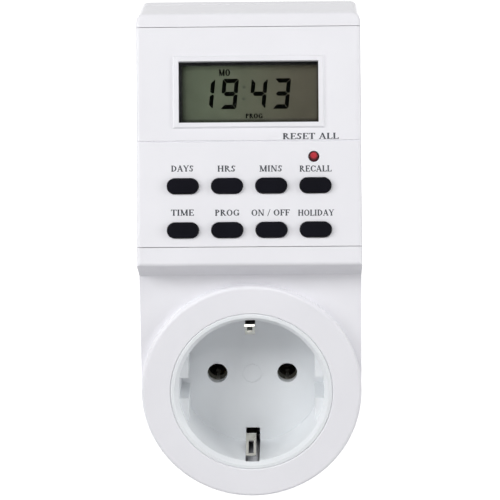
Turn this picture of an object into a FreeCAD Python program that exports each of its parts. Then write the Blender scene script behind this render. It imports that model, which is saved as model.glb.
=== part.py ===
import FreeCAD, Part
import math
import os

Vec = FreeCAD.Vector

# A plug-in digital timer: a plug at the back, a socket at the front, and a
# sloped control panel above the socket. Sizes are in millimetres.
# X runs to the right seen from the front, Y runs towards the wall, Z runs up.
# The origin is the middle of the plug's two pins, on the housing's rear face.

# Standard plug and socket
pin_pitch = 19.0
pin_diameter = 4.8
pin_length = 19.0
pin_tip_round = 1.6
recess_depth = 17.5
recess_diameter = 39.0
socket_hole_diameter = 5.45
flat_to_flat = 33.8
notch_width = 5.7
plug_depth = 17.0
plug_diameter = 37.6

# Housing
body_width = 58.4
top_z = 99.2
ring_front = 36.0
ring_raise = 2.5
ring_edge_round = 0.9
wall = 2.2
front_wall = 3.4
top_corner = 2.2
rear_round = 2.0
rear_shell_depth = 7.0
seam_step = 0.25
edge_round = 1.0

# Sloped nose and ledge
panel_tilt = 17.0
nose_reach = 6.4
nose_bottom_z = 36.5
ledge_foot_z = 31.6
ledge_step = 0.4
ledge_wall = 2.8

# Control panel, measured up the slope from its bottom front edge
panel_low = 4.7
panel_high = 62.1
panel_thickness = 2.0
panel_gap = 0.15
panel_lip = 1.3
crease_up = 32.2
crease_width = 0.5
crease_depth = 0.35
opening_width = 36.3
opening_height = 16.0
opening_up = 45.05
frame_width = 1.5
frame_raise = 0.5

# Keys and reset button
key_length = 8.1
key_height = 3.95
key_pitch = 11.45
key_row_up = (20.6, 9.15)
key_stand = 1.0
key_edge_round = 0.35
key_travel = 0.7
key_clearance = 0.15
key_flange = 0.8
flange_thickness = 0.8
flange_gap = 0.3
reset_diameter = 2.6
reset_x = 16.8
reset_up = 28.1
reset_sink = 0.1
reset_edge_round = 0.4
reset_travel = 0.5

# Display
window_thickness = 1.0
window_margin = 2.1
gasket_thickness = 0.5
gasket_shift = 0.35
holder_side_gap = 2.8
glass_height = 21.0
glass_thickness = 2.6
reflector_thickness = 0.2
zebra_height = 3.5
zebra_width = 2.0
zebra_inset = 0.5
holder_wall = 2.0
fit_gap = 0.2
board_thickness = 1.6
display_board_side_gap = 1.5
display_board_end = 0.7
mat_thickness = 0.8
mat_edge = 1.6
dome_height = 0.6
dome_radius = 2.2
chip_size = 11.0
chip_height = 1.9
chip_up = 19.5
chip_legs = 8
chip_leg_pitch = 1.1
chip_leg_reach = 1.5
crystal_radius = 1.05
crystal_length = 6.0
crystal_place = (11.0, 16.0)
switch_size = 4.6
switch_height = 1.2
panel_post_radius = 1.8
panel_post_inset = 5.7
panel_post_drop = 3.2
small_screw_radius = 0.8
small_screw_bite = 4.0
small_head_radius = 1.6
small_head_height = 1.2

# Socket insert
well_wall = 2.0
well_floor = 2.5
well_gap = 0.05
lead_in = 1.0
segment_drop = 4.0
well_flange = 0.6
well_flange_thickness = 1.5
slot_width = 3.8
slot_in_floor = 3.9
slot_depth = 2.7
slot_rim = 1.0
mould_mark_radius = 2.7
mould_mark_line = 0.3
mould_mark_depth = 0.15

# Socket contacts
contact_wall = 0.9
contact_bore = 5.0
contact_split = 1.0
strip = 0.8
bar_width = 6.0
riser_width = 4.0
riser_overlap = 7.0
contact_clearance = 3.0
carrier_height = 12.0
carrier_side = 0.5
carrier_clearance = 0.1
carrier_screw_x = 4.2

# Earth parts
clip_width = 2.3
clip_thickness = 0.6
clip_offset = -0.45
clip_slit = 0.9
clip_slit_start = 2.3
clip_slit_end = 5.2
clip_root_inset = 1.4
clip_nose_inset = 4.6
clip_nose_depth = 4.5
clip_tip_inset = 1.2
clip_tip_depth = 1.4
clip_gap = 0.15
clip_foot_depth = 4.0
bridge_gap = 0.2
bridge_clearance = 1.2
earth_contact_sink = 2.4
earth_width = 4.4
earth_end = 1.0
earth_groove_side = 1.0
earth_groove_start = 3.0

# Plug
plug_flange = 1.8
plug_flange_thickness = 1.4
plug_hole_gap = 0.3
plug_wall = 1.6
plug_face = 2.5
plug_edge_round = 0.8
plug_flat_clearance = 0.4
plug_flat_start = 1.0
rib_width = 5.0
pin_clearance = 0.1
pin_collar = 0.3
pin_head_radius = 3.4
pin_head_thickness = 1.5
pin_stub_radius = 1.5
pin_stub_length = 2.0

# Case screws
screw_side_inset = 5.0
screw_top_drop = 7.7
screw_middle_z = 14.0
screw_bottom_inset = 4.7
screw_radius = 1.25
screw_head_radius = 2.5
screw_head_height = 1.6
screw_head_sink = 1.0
screw_length = 8.8
screw_clearance = 0.1
side_post_radius = 3.0
bottom_post_radius = 2.3
boss_radius = 3.4
top_post_length = 5.4
pilot_floor = 1.0
rib_half = 0.8

# Power board
board_standoff = 2.8
main_board_low = 31.0
main_board_top_drop = 13.2
main_board_side_gap = 2.0
standoff_radius = 2.4
standoff_inset = 3.5
standoff_rise = 5.0

# Components on the power board: sizes are across, out from the board and up;
# places are X and the height above the board's lower edge
relay_size = (29.0, 15.7, 12.7)
relay_place = (-3.5, 16.35)
relay_round = 0.8
mains_capacitor_size = (17.5, 13.0, 8.0)
mains_capacitor_place = (-13.25, 29.0)
mains_capacitor_round = 0.6
rectifier_size = (8.5, 3.4, 6.5)
rectifier_place = (16.25, 41.75)
header_size = (12.0, 4.0, 3.0)
header_place = (0.0, 52.5)
smoothing_radius = 4.0
smoothing_height = 12.0
smoothing_place = (17.5, 31.5)
smoothing_groove = 0.3
battery_radius = 6.2
battery_thickness = 5.9
battery_place = (-14.0, 43.0)
battery_round = 0.8
tab_thickness = 0.5
tab_width = 4.0
varistor_radius = 5.0
varistor_thickness = 4.0
varistor_place = (3.0, 29.0)
varistor_stand = 1.6
fuse_radius = 1.9
fuse_length = 8.0
fuse_place = (3.0, 37.0)
transistor_radius = 2.4
transistor_height = 4.8
transistor_stand = 1.2
transistor_place = (0.0, 45.5)
leg_pitch = 1.27
lead_radius = 0.3
foot_radius = 0.27
resistor_size = (1.0, 5.5, 4.4)
resistor_place = (-3.0, 3.0)
diode_size = (1.0, 4.0, 3.6)
diode_place = (10.5, 49.0)
axial_pitch = 2.6
cable_thickness = 1.0
cable_width = 11.0
cable_drop = 4.0

# Places worked out from the sizes above
far = 200.0
stop_gap = 0.1
half_width = body_width / 2
rear_y = 0.0
seam_y = -rear_shell_depth
ring_y = -ring_front
lower_face_y = ring_y + ring_raise
nose_y = ring_y - nose_reach
inner_face_y = lower_face_y + wall
tilt = math.radians(panel_tilt)
floor_y = ring_y + recess_depth
floor_back_y = floor_y + well_floor
recess_radius = recess_diameter / 2
well_radius = recess_radius + well_wall
flat_x = flat_to_flat / 2
slot_start = recess_radius - slot_in_floor
clip_root = recess_radius - clip_root_inset
clip_nose = recess_radius - clip_nose_inset
clip_tip = recess_radius - clip_tip_inset
bridge_y = floor_back_y + bridge_gap
clip_foot_y = bridge_y + clip_foot_depth
pin_x = pin_pitch / 2
pin_radius = pin_diameter / 2
hole_radius = socket_hole_diameter / 2
plug_radius = plug_diameter / 2
plug_end_y = plug_depth
plug_inner_y = plug_end_y - plug_face
plug_flange_y = -wall - plug_flange_thickness
plug_flat_x = flat_x - plug_flat_clearance
pin_stub_y = plug_inner_y - pin_head_thickness - pin_stub_length
earth_contact = plug_radius - earth_contact_sink
earth_floor = earth_contact - strip - fit_gap
bridge_end = min(earth_contact, clip_root - clip_thickness / 2 - bridge_clearance)
sleeve_radius = contact_bore / 2 + contact_wall
contact_start_y = floor_back_y + contact_clearance
carrier_half_width = pin_x + sleeve_radius + carrier_side
busbar_x = carrier_half_width + fit_gap
plug_cavity_x = max(plug_flat_x - plug_wall, busbar_x + strip + fit_gap)
board_back_y = -wall - board_standoff
board_front_y = board_back_y - board_thickness
contact_end_y = board_back_y
main_board_high = top_z - main_board_top_drop
main_board_half = half_width - wall - main_board_side_gap
riser_top = main_board_low + riser_overlap
standoff_places = [(side * (main_board_half - standoff_inset), z)
                   for z in (main_board_low + standoff_rise, main_board_high - standoff_rise)
                   for side in (-1, 1)]
screw_top_z = top_z - screw_top_drop
screw_bottom_z = screw_bottom_inset - half_width
key_columns = [(k - 1.5) * key_pitch for k in range(4)]
panel_posts = [(side * (half_width - panel_post_inset), up)
               for up in (sum(key_row_up) / 2, panel_high - panel_post_drop) for side in (-1, 1)]
display_board_half = half_width - wall - display_board_side_gap
glass_width = 2 * (half_width - wall - holder_side_gap - holder_wall - fit_gap)
window_depth = panel_thickness
gasket_depth = window_depth + window_thickness
glass_depth = gasket_depth + gasket_thickness
reflector_depth = glass_depth + glass_thickness
zebra_depth = reflector_depth + reflector_thickness
display_board_depth = zebra_depth + zebra_height
mat_depth = display_board_depth - mat_thickness
dome_top_depth = mat_depth - dome_height
display_board_back = display_board_depth + board_thickness
collar_start = panel_thickness + flange_gap
collar_end = collar_start + flange_thickness


def box(x0, x1, y0, y1, z0, z1):
    low = Vec(min(x0, x1), min(y0, y1), min(z0, z1))
    return Part.makeBox(abs(x1 - x0), abs(y1 - y0), abs(z1 - z0), low)


def rod(radius, x, z, y0, y1):
    """A round bar along Y."""
    return Part.makeCylinder(radius, abs(y1 - y0), Vec(x, min(y0, y1), z), Vec(0, 1, 0))


def cross_rod(radius, x0, x1, y, z):
    """A round bar along X."""
    return Part.makeCylinder(radius, x1 - x0, Vec(x0, y, z), Vec(1, 0, 0))


def cone(radius0, radius1, y0, y1, x=0, z=0):
    """A cone along Y, radius0 at y0 and radius1 at y1."""
    return Part.makeCone(radius0, radius1, y1 - y0, Vec(x, y0, z), Vec(0, 1, 0))


def plate_x(points, x0, x1):
    """A (Y, Z) outline made solid from x0 to x1."""
    corners = [Vec(x0, y, z) for y, z in points]
    face = Part.Face(Part.makePolygon(corners + corners[:1]))
    return face.extrude(Vec(x1 - x0, 0, 0))


def joined(shapes):
    whole = shapes[0]
    for shape in shapes[1:]:
        whole = whole.fuse(shape)
    return whole.removeSplitter()


def without(shape, tools):
    for tool in tools:
        shape = shape.cut(tool)
    return shape


def edges_at(shape, y):
    """The edges that lie wholly in the plane at depth y."""
    return [edge for edge in shape.Edges if all(abs(v.Y - y) < 0.01 for v in edge.Vertexes)
            and abs(edge.BoundBox.YMax - edge.BoundBox.YMin) < 0.01]


def edges_along_y(shape):
    """The straight edges that run along Y."""
    chosen = []
    for edge in shape.Edges:
        ends = edge.Vertexes
        if len(ends) == 2 and abs(ends[0].X - ends[1].X) + abs(ends[0].Z - ends[1].Z) < 0.01:
            chosen.append(edge)
    return chosen


def stadium(length, height, place, y0, y1):
    """A bar along Y whose ends are half circles, length across X."""
    x, up = place
    radius = height / 2
    reach = length / 2 - radius
    ends = [rod(radius, x + side * reach, up, y0, y1) for side in (-1, 1)]
    middle = box(x - reach, x + reach, y0, y1, up - radius, up + radius)
    return joined(ends + [middle])


def frame_box(half_x, half_up, y0, y1, centre=(0, 0)):
    """A box about a centre given as (X, up)."""
    x, up = centre
    return box(x - half_x, x + half_x, y0, y1, up - half_up, up + half_up)


def on_panel(shape):
    """Lay a shape drawn with Y into the panel and Z up it on the slope."""
    placed = shape.copy()
    placed.rotate(Vec(0, 0, 0), Vec(1, 0, 0), -panel_tilt)
    placed.translate(Vec(0, nose_y, nose_bottom_z))
    return placed


def crossing(point_a, way_a, point_b, way_b):
    """Where two lines in the YZ plane meet."""
    det = way_a[0] * way_b[1] - way_a[1] * way_b[0]
    gap = (point_b[0] - point_a[0], point_b[1] - point_a[1])
    t = (gap[0] * way_b[1] - gap[1] * way_b[0]) / det
    return (point_a[0] + t * way_a[0], point_a[1] + t * way_a[1])


def outline_slab(inset, y0, y1):
    """The housing's front view, drawn in by inset, between two depths."""
    half = half_width - inset
    top = top_z - inset
    corner = max(top_corner - inset, seam_step)
    turn = corner * math.sqrt(0.5)
    right = half - corner
    high = top - corner

    def at(x, z):
        return Vec(x, y0, z)

    edges = [
        Part.Arc(at(half, 0), at(0, -half), at(-half, 0)).toShape(),
        Part.LineSegment(at(-half, 0), at(-half, high)).toShape(),
        Part.Arc(at(-half, high), at(-right - turn, high + turn), at(-right, top)).toShape(),
        Part.LineSegment(at(-right, top), at(right, top)).toShape(),
        Part.Arc(at(right, top), at(right + turn, high + turn), at(half, high)).toShape(),
        Part.LineSegment(at(half, high), at(half, 0)).toShape(),
    ]
    return Part.Face(Part.Wire(edges)).extrude(Vec(0, y1 - y0, 0))


def slope_y(z, depth=0.0):
    """Y of the panel's plane, or of a plane that far behind it, at height z."""
    return nose_y + (z - nose_bottom_z) * math.tan(tilt) + depth / math.cos(tilt)


def outer_profile():
    """The front shell's side view: ring side, ledge in two steps, nose, slope and top."""
    nose = (nose_y, nose_bottom_z)
    foot = (lower_face_y, ledge_foot_z)
    middle = ((nose[0] + foot[0]) / 2, (nose[1] + foot[1]) / 2)
    below = -half_width - wall
    return [
        (seam_y, below),
        (lower_face_y, below),
        foot,
        (middle[0] + ledge_step, middle[1]),
        middle,
        nose,
        (slope_y(top_z), top_z),
        (seam_y, top_z),
    ]


def inner_profile():
    """The front shell's hollow in side view."""
    way = (lower_face_y - nose_y, ledge_foot_z - nose_bottom_z)
    length = math.hypot(*way)
    start = (nose_y - way[1] / length * ledge_wall, nose_bottom_z + way[0] / length * ledge_wall)
    front = (slope_y(nose_bottom_z, front_wall), nose_bottom_z)
    upward = (math.tan(tilt), 1.0)
    ceiling = top_z - wall
    below = -half_width - wall
    return [
        (seam_y + wall, below),
        (inner_face_y, below),
        crossing(start, way, (inner_face_y, 0), (0, 1)),
        crossing(start, way, front, upward),
        (slope_y(ceiling, front_wall), ceiling),
        (seam_y + wall, ceiling),
    ]


def case_screw_places():
    side_x = half_width - screw_side_inset
    sides = [(side * side_x, z) for z in (screw_top_z, screw_middle_z) for side in (-1, 1)]
    return sides + [(0, screw_bottom_z)]


def rounded_block():
    """The front shell's outside, with the sloped face's edges rounded."""
    block = plate_x(outer_profile(), -half_width, half_width)
    block = block.common(outline_slab(0, nose_y - wall, seam_y))
    rim = [e for e in block.Edges if all(abs(v.Y - slope_y(v.Z)) < 0.01 for v in e.Vertexes)]
    return block.makeFillet(edge_round, rim)


def front_posts():
    """Screw posts, the outer ones tied to the side walls by a rib."""
    posts = []
    for x, z in case_screw_places():
        start = seam_y - top_post_length if z == screw_top_z else inner_face_y - wall / 2
        posts.append(rod(side_post_radius if x else bottom_post_radius, x, z, start, seam_y))
        if x:
            wall_x = math.copysign(half_width - wall / 2, x)
            posts.append(box(x, wall_x, start, seam_y, z - rib_half, z + rib_half))
    return posts


def front_shell():
    ring = rod(half_width, 0, 0, ring_y, inner_face_y)
    ring = ring.makeFillet(ring_edge_round, edges_at(ring, ring_y))
    cavity = plate_x(inner_profile(), -half_width, half_width)
    cavity = cavity.common(outline_slab(wall, nose_y, seam_y + wall))
    shell = rounded_block().fuse(ring).cut(cavity)
    shell = joined([shell] + front_posts())
    inside = half_width - wall
    pocket = box(-far, far, -far, panel_thickness, panel_low, panel_high)
    opening = box(-inside, inside, 0, front_wall + wall, panel_low + panel_lip, panel_high - panel_lip)
    hole = well_radius + well_gap
    tools = [
        on_panel(pocket),
        on_panel(opening),
        rod(hole, 0, 0, ring_y - wall, inner_face_y + wall),
        cone(hole + seam_step, hole, ring_y, ring_y + seam_step),
    ]
    for x, z in case_screw_places():
        pilot_end = seam_y - top_post_length + pilot_floor
        tools.append(rod(screw_radius + screw_clearance, x, z, pilot_end, seam_y + wall))
    seam = outline_slab(-wall, seam_y - seam_step, seam_y + wall)
    tools.append(seam.cut(outline_slab(seam_step, seam_y - wall, seam_y + 2 * wall)))
    return without(shell, tools)


def rear_shell():
    shell = outline_slab(0, seam_y + seam_step, rear_y)
    shell = shell.makeFillet(rear_round, edges_at(shell, rear_y))
    shell = shell.fuse(outline_slab(seam_step, seam_y, seam_y + seam_step))
    shell = shell.cut(outline_slab(wall, seam_y - wall, rear_y - wall))
    inner_y = rear_y - wall / 2
    posts = [rod(boss_radius, x, z, seam_y, inner_y) for x, z in case_screw_places()]
    posts += [rod(standoff_radius, x, z, board_back_y, inner_y) for x, z in standoff_places]
    shell = joined([shell] + posts).common(outline_slab(0, seam_y, rear_y))
    seat_y = rear_y - screw_head_sink - screw_head_height
    tools = [rod(plug_radius + plug_hole_gap, 0, 0, rear_y - 2 * wall, rear_y + wall)]
    for x, z in case_screw_places():
        tools.append(rod(screw_head_radius + screw_clearance, x, z, seat_y, rear_y + wall))
        tools.append(rod(screw_radius + screw_clearance, x, z, seam_y - wall, rear_y))
    for x, z in standoff_places:
        tools.append(rod(small_screw_radius + screw_clearance, x, z, seam_y, rear_y - wall))
    return without(shell, tools)


def screw(place, head_y, way, length, shank, head, head_height):
    """A cross-head screw along Y: its head starts at head_y, its shank runs along way (1 or -1)."""
    x, z = place
    seat_y = head_y + way * head_height
    body = joined([rod(head, x, z, head_y, seat_y), rod(shank, x, z, seat_y, seat_y + way * length)])
    arm = head * 0.6
    slot_y = head_y + way * head_height / 2
    bars = [box(x - a, x + a, head_y - way, slot_y, z - b, z + b)
            for a, b in ((arm, arm / 5), (arm / 5, arm))]
    return without(body, bars)


def case_screws():
    return Part.Compound([
        screw(place, rear_y - screw_head_sink, -1, screw_length, screw_radius, screw_head_radius,
              screw_head_height)
        for place in case_screw_places()])


def small_screw(place, head_y, way, length):
    return screw(place, head_y, way, length, small_screw_radius, small_head_radius, small_head_height)


def key_places():
    return [(x, up) for up in key_row_up for x in key_columns]


def window_frame():
    """The raised frame round the display window, its outer edges sloped."""
    half_w = opening_width / 2 + frame_width
    half_h = opening_height / 2 + frame_width
    frame = frame_box(half_w, half_h, -frame_raise, panel_thickness / 2, (0, opening_up))
    return frame.makeChamfer(frame_raise * 0.9, edges_at(frame, -frame_raise))


def control_panel():
    plate = box(-half_width, half_width, 0, panel_thickness, panel_low + panel_gap, panel_high - panel_gap)
    sides = [e for e in edges_at(plate, 0) if abs(e.BoundBox.XMax - e.BoundBox.XMin) < 0.01]
    plate = plate.makeFillet(edge_round, sides)
    posts = [rod(panel_post_radius, x, up, panel_thickness / 2, display_board_depth)
             for x, up in panel_posts]
    plate = joined([plate, window_frame()] + posts)
    groove = [(-crease_depth, crease_up - crease_width), (-crease_depth, crease_up + crease_width),
              (crease_depth, crease_up)]
    tools = [
        frame_box(opening_width / 2, opening_height / 2, -far, far, (0, opening_up)),
        plate_x(groove, -far, far),
        rod(reset_diameter / 2 + key_clearance, reset_x, reset_up, -wall, 2 * wall),
    ]
    hole_length = key_length + 2 * key_clearance
    hole_height = key_height + 2 * key_clearance
    tools += [stadium(hole_length, hole_height, place, -wall, 2 * wall) for place in key_places()]
    pilot = small_screw_radius + screw_clearance
    tools += [rod(pilot, x, up, panel_thickness * 2, far) for x, up in panel_posts]
    return on_panel(without(plate, tools))


def key(place):
    cap = stadium(key_length, key_height, place, -key_stand, collar_end)
    cap = cap.makeFillet(key_edge_round, edges_at(cap, -key_stand))
    flange_size = (key_length + 2 * key_flange, key_height + 2 * key_flange)
    flange = stadium(*flange_size, place, collar_start, collar_end)
    stem_end = dome_top_depth - key_travel - stop_gap
    stem = stadium(key_length * 0.7, key_height * 0.6, place, collar_end, stem_end)
    return on_panel(joined([cap, flange, stem]))


def reset_button():
    radius = reset_diameter / 2
    stem_end = display_board_depth - switch_height - reset_travel - stop_gap
    cap = rod(radius, reset_x, reset_up, reset_sink, collar_end)
    cap = cap.makeFillet(reset_edge_round, edges_at(cap, reset_sink))
    return on_panel(joined([
        cap,
        rod(radius + key_flange, reset_x, reset_up, collar_start, collar_end),
        rod(radius * 0.6, reset_x, reset_up, collar_end, stem_end),
    ]))


def reset_switch():
    half = switch_size / 2
    return on_panel(frame_box(half, half, display_board_depth - switch_height, display_board_depth,
                              (reset_x, reset_up)))


def post_relief():
    """Room round the control panel's screw posts."""
    return [rod(panel_post_radius + fit_gap, x, up, 0, far) for x, up in panel_posts]


def keypad_mat():
    reach = key_columns[-1] + key_length / 2 + mat_edge
    middle = sum(key_row_up) / 2
    half_up = (key_row_up[0] - key_row_up[1] + key_height) / 2 + mat_edge
    sheet = frame_box(reach, half_up, mat_depth, display_board_depth, (0, middle))
    domes = [cone(dome_radius * 0.6, dome_radius, dome_top_depth, mat_depth, x, up)
             for x, up in key_places()]
    return on_panel(without(joined([sheet] + domes), post_relief()))


def display_window():
    half_w = opening_width / 2 + window_margin
    half_h = opening_height / 2 + window_margin
    return on_panel(frame_box(half_w, half_h, window_depth, gasket_depth, (0, opening_up)))


def display_gasket():
    """A dark frame before the glass, set a little right and low of the window."""
    sheet = frame_box(glass_width / 2, glass_height / 2, gasket_depth, glass_depth, (0, opening_up))
    view = frame_box(opening_width / 2 - gasket_shift, opening_height / 2 - gasket_shift, 0, far,
                     (gasket_shift, opening_up - gasket_shift))
    return on_panel(sheet.cut(view))


def glass_plate(front, back):
    return on_panel(frame_box(glass_width / 2, glass_height / 2, front, back, (0, opening_up)))


def display_holder():
    inner_w = glass_width / 2 + fit_gap
    inner_h = glass_height / 2 + fit_gap
    frame = frame_box(inner_w + holder_wall, inner_h + holder_wall, glass_depth, display_board_depth,
                      (0, opening_up))
    hole = frame_box(inner_w, inner_h, 0, far, (0, opening_up))
    return on_panel(without(frame, [hole] + post_relief()))


def zebra_strip():
    low = opening_up - glass_height / 2 + zebra_inset
    reach = glass_width / 2 - zebra_inset
    return on_panel(box(-reach, reach, zebra_depth, display_board_depth, low, low + zebra_width))


def display_board():
    board = box(-display_board_half, display_board_half, display_board_depth, display_board_back,
                panel_low - display_board_end, panel_high - display_board_end)
    holes = [rod(small_screw_radius + screw_clearance, x, up, 0, far) for x, up in panel_posts]
    return on_panel(without(board, holes))


def display_board_screws():
    head_y = display_board_back + small_head_height
    length = board_thickness + small_screw_bite
    return Part.Compound([on_panel(small_screw(place, head_y, -1, length)) for place in panel_posts])


def clock_chip():
    half = chip_size / 2
    stand = board_thickness / 5
    body = frame_box(half, half, display_board_back + stand, display_board_back + stand + chip_height,
                     (0, chip_up))
    reach = half + chip_leg_reach
    leg_half = chip_leg_pitch / 5
    legs = []
    for k in range(chip_legs):
        up = chip_up + (k - (chip_legs - 1) / 2) * chip_leg_pitch
        legs.append(box(-reach, reach, display_board_back, display_board_back + chip_height / 2,
                        up - leg_half, up + leg_half))
    return on_panel(joined([body] + legs))


def quartz_crystal():
    x, up = crystal_place
    y = display_board_back + crystal_radius
    can = Part.makeCylinder(crystal_radius, crystal_length, Vec(x, y, up), Vec(0, 0, 1))
    leads = []
    for side in (-1, 1):
        lead_x = x + side * crystal_radius / 2
        leads.append(box(lead_x - lead_radius / 2, lead_x + lead_radius / 2, display_board_back, y,
                         up - 2 * crystal_radius, up + lead_radius))
    return on_panel(joined([can] + leads))


def socket_well():
    body = rod(well_radius, 0, 0, ring_y, floor_back_y)
    flange = rod(well_radius + well_flange, 0, 0, inner_face_y, inner_face_y + well_flange_thickness)
    body = body.fuse(flange).cut(rod(recess_radius, 0, 0, ring_y - wall, floor_y))
    segment_y = ring_y + segment_drop
    inside = rod(recess_radius + well_wall / 2, 0, 0, segment_y, floor_y + well_floor / 2)
    notch_half = notch_width / 2
    for side in (-1, 1):
        segment = box(side * flat_x, side * well_radius, segment_y, floor_back_y, -well_radius, well_radius)
        notch = box(side * (flat_x - 1), side * (recess_radius - fit_gap), ring_y, floor_y,
                    -notch_half, notch_half)
        body = body.fuse(segment.common(inside).cut(notch))
    lip = rod(well_radius + wall, 0, 0, ring_y, ring_y + seam_step)
    mark = rod(mould_mark_radius, 0, 0, floor_y - wall, floor_y + mould_mark_depth)
    tools = [
        cone(recess_radius + lead_in, recess_radius, ring_y, ring_y + lead_in * 1.2),
        lip.cut(cone(well_radius - seam_step, well_radius, ring_y, ring_y + seam_step)),
        mark.cut(rod(mould_mark_radius - mould_mark_line, 0, 0, floor_y - 2 * wall, floor_y + wall)),
    ]
    for side in (-1, 1):
        tools.append(rod(hole_radius, side * pin_x, 0, ring_y, floor_back_y + wall))
        tools.append(box(-slot_width / 2, slot_width / 2, ring_y + slot_rim, floor_back_y + wall,
                         side * slot_start, side * (recess_radius + slot_depth)))
    return without(body.removeSplitter(), tools)


def earth_clip(side):
    """A sprung strip through the slot: root behind the floor, nose bent inward, tip bent out."""
    root_y = clip_foot_y - clip_gap
    path = [(root_y, clip_root), (ring_y + clip_nose_depth, clip_nose), (ring_y + clip_tip_depth, clip_tip)]
    half = clip_thickness / 2
    x0 = clip_offset - clip_width / 2
    parts = []
    for (y0, r0), (y1, r1) in zip(path, path[1:]):
        length = math.hypot(y1 - y0, r1 - r0)
        across = (-(r1 - r0) / length * half, (y1 - y0) / length * half)
        outline = [(y + s * across[0], side * (r + s * across[1]))
                   for y, r, s in ((y0, r0, 1), (y1, r1, 1), (y1, r1, -1), (y0, r0, -1))]
        parts.append(plate_x(outline, x0, x0 + clip_width))
    nose_y0, nose_r = path[1]
    parts.append(cross_rod(half, x0, x0 + clip_width, nose_y0, side * nose_r))
    slit = box(clip_offset - clip_slit / 2, clip_offset + clip_slit / 2, ring_y + clip_slit_start,
               ring_y + clip_slit_end, 0, side * far)
    behind = box(-far, far, root_y, far, -far, far)
    return without(joined(parts), [slit, behind])


def contact(side, lug_end, extra):
    """A split sleeve behind a socket hole, with a lug across its rear end."""
    x = side * pin_x
    tube = rod(sleeve_radius, x, 0, contact_start_y, contact_end_y)
    lug = box(x - side * sleeve_radius, side * lug_end, contact_end_y, contact_end_y + strip,
              -bar_width / 2, bar_width / 2)
    split = box(x - contact_split / 2, x + contact_split / 2, contact_start_y - wall, contact_end_y - wall,
                -far, far)
    bore = rod(contact_bore / 2, x, 0, contact_start_y - wall, contact_end_y + wall)
    return without(joined([tube, lug] + extra), [bore, split])


def neutral_contact():
    """Its lug meets the neutral busbar's leg."""
    return contact(-1, busbar_x, [])


def line_contact():
    """Its riser goes up to the relay's side of the power board, clear of the busbar."""
    inner_x = pin_x - bar_width / 2
    riser = box(inner_x, inner_x + bar_width, contact_end_y, contact_end_y + strip, 0, riser_top)
    return contact(1, pin_x + sleeve_radius, [riser])


def busbar(side):
    """From the plug pin's stub back past the socket contact and up to the power board."""
    outer_x = side * (busbar_x + strip)
    half = bar_width / 2
    foot = box(side * (pin_x - pin_head_radius), outer_x, pin_stub_y, pin_stub_y + strip, -half, half)
    leg = box(side * busbar_x, outer_x, contact_end_y, pin_stub_y + strip, -half, half)
    riser = box(side * busbar_x, side * (busbar_x + riser_width), contact_end_y, contact_end_y + strip,
                -half, riser_top)
    hole = rod(pin_stub_radius + pin_clearance, side * pin_x, 0, pin_stub_y - wall, pin_stub_y + wall)
    return joined([foot, leg, riser]).cut(hole)


def contact_carrier():
    """The block that holds both contacts behind the socket floor, with a channel for the earth bridge."""
    block = frame_box(carrier_half_width, carrier_height / 2, floor_back_y, contact_end_y)
    channel = earth_width / 2 + fit_gap
    tools = [box(-channel, channel, floor_back_y - wall, bridge_y + strip, -far, far)]
    for side in (-1, 1):
        tools.append(rod(sleeve_radius + carrier_clearance, side * pin_x, 0, -far, far))
        tools.append(rod(small_screw_radius + screw_clearance, side * carrier_screw_x, 0, -far, far))
    return without(block, tools)


def carrier_screws():
    head_y = contact_end_y + small_head_height
    length = contact_end_y - floor_back_y
    return Part.Compound([small_screw((side * carrier_screw_x, 0), head_y, -1, length) for side in (-1, 1)])


def earth_bracket():
    """A bent strip: a bridge behind the socket floor, a leg each way along the plug, a foot for each clip.
    In front of the feet the legs stay clear of the clips, so there they may stand further in."""
    half = earth_width / 2
    foot_x = clip_offset - clip_width / 2
    foot_back_y = clip_foot_y + strip
    reach = clip_root + fit_gap + strip
    parts = [box(-half, half, bridge_y, bridge_y + strip, -bridge_end, bridge_end)]
    for side in (-1, 1):
        front = side * (bridge_end - strip)
        back = side * (earth_contact - strip)
        contact = side * earth_contact
        parts.append(box(-half, half, bridge_y, foot_back_y, front, side * bridge_end))
        parts.append(box(-half, half, clip_foot_y, foot_back_y, front, contact))
        parts.append(box(-half, half, clip_foot_y, plug_end_y - earth_end, back, contact))
        parts.append(box(foot_x, foot_x + clip_width, clip_foot_y, foot_back_y, front, side * reach))
    return joined(parts)


def plug_body():
    body = rod(plug_radius, 0, 0, plug_flange_y, plug_end_y)
    body = body.makeFillet(plug_edge_round, edges_at(body, plug_end_y))
    body = body.fuse(rod(plug_radius + plug_flange, 0, 0, plug_flange_y, -wall))
    cavity = rod(plug_radius - plug_wall, 0, 0, plug_flange_y - wall, plug_inner_y)
    limit = box(-plug_cavity_x, plug_cavity_x, -far, far, plug_wall - earth_floor, earth_floor - plug_wall)
    body = body.cut(cavity.common(limit))
    channel = earth_width / 2 + earth_groove_side
    slit = earth_width / 2 + fit_gap
    tools = []
    for side in (-1, 1):
        for half in (-1, 1):
            tools.append(box(side * plug_flat_x, side * far, plug_flat_start, far,
                             half * rib_width / 2, half * far))
        tools.append(box(-channel, channel, earth_groove_start, far, side * earth_floor, side * far))
        tools.append(box(-slit, slit, plug_flange_y - wall, earth_groove_start + wall,
                         side * earth_floor, side * (earth_contact + fit_gap)))
        tools.append(rod(pin_radius + pin_collar + pin_clearance, side * pin_x, 0, plug_inner_y - wall, far))
    return without(body, tools)


def plug_pin(side):
    """The pin itself, its collar in the plug's face, its head behind the face, and its stub."""
    x = side * pin_x
    tip_y = plug_end_y + pin_length
    pin = rod(pin_radius, x, 0, plug_end_y, tip_y)
    pin = pin.makeFillet(pin_tip_round, edges_at(pin, tip_y))
    head_y = plug_inner_y - pin_head_thickness
    return joined([
        pin,
        rod(pin_radius + pin_collar, x, 0, plug_inner_y, plug_end_y),
        rod(pin_head_radius, x, 0, head_y, plug_inner_y),
        rod(pin_stub_radius, x, 0, pin_stub_y, head_y),
    ])


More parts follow.
